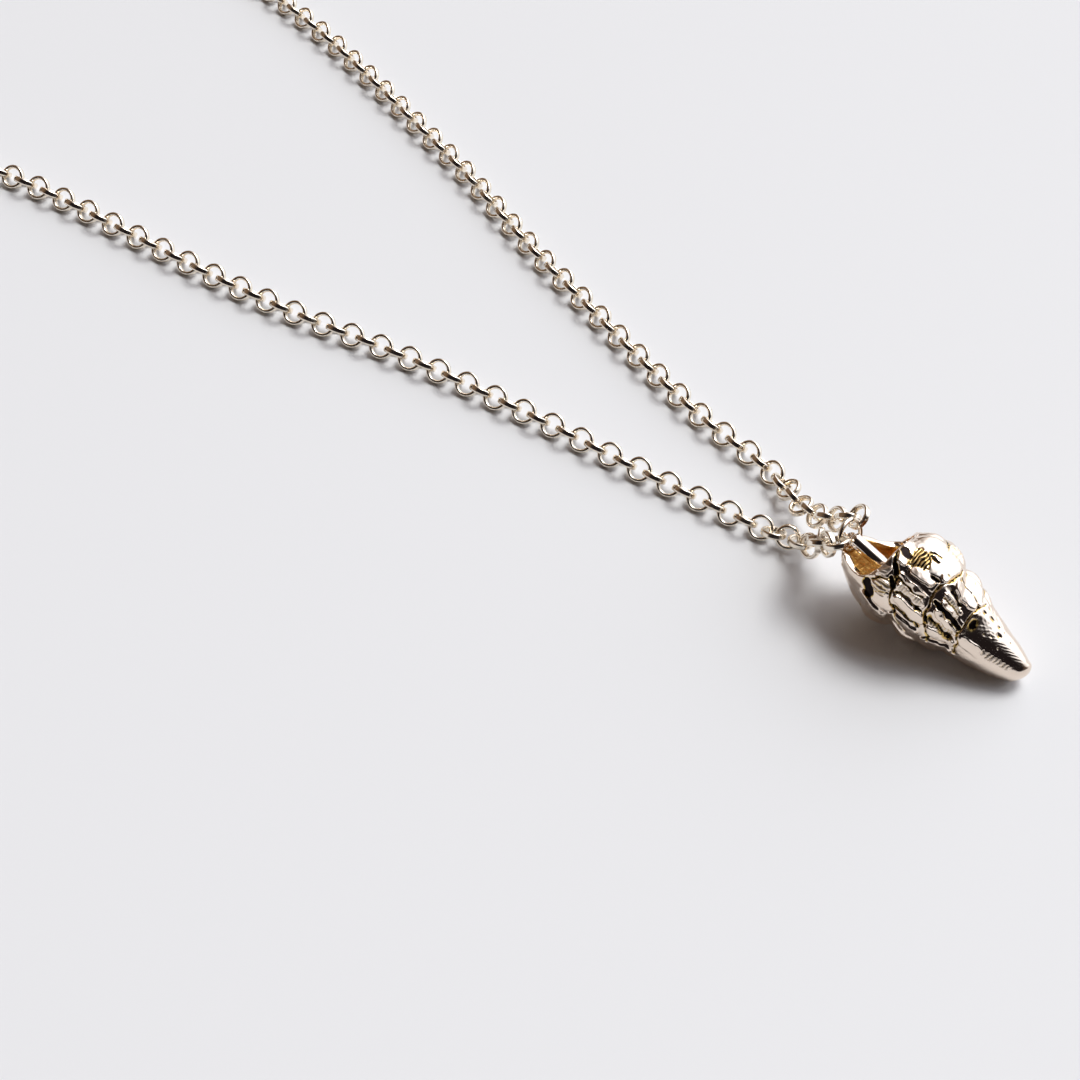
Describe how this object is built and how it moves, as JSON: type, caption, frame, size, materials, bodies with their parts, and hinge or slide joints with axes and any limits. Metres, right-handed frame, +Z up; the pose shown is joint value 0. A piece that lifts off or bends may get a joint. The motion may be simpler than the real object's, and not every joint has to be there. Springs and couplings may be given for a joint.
{
  "type": "seashell pendant necklace",
  "caption": "Fine chain of round silver links with a cast spiral seashell pendant, its open end and central pillar held by a middle ring, lying on a table.",
  "frame": {"origin": "on the table, under the middle of the whole necklace's bounding box", "axes": "+Z up from the table, +Y from the pendant's tip towards the clasp, +X to the right when seen from above with the pendant nearest"},
  "size_m": [0.0606, 0.2001, 0.0105],
  "materials": {
    "silver": "polished, warm, darker in the grooves"
  },
  "bodies": {
    "root": {"shell": "silver", "chain": "silver", "clasp": "silver", "end_ring": "silver"}
  },
  "joints": []
}
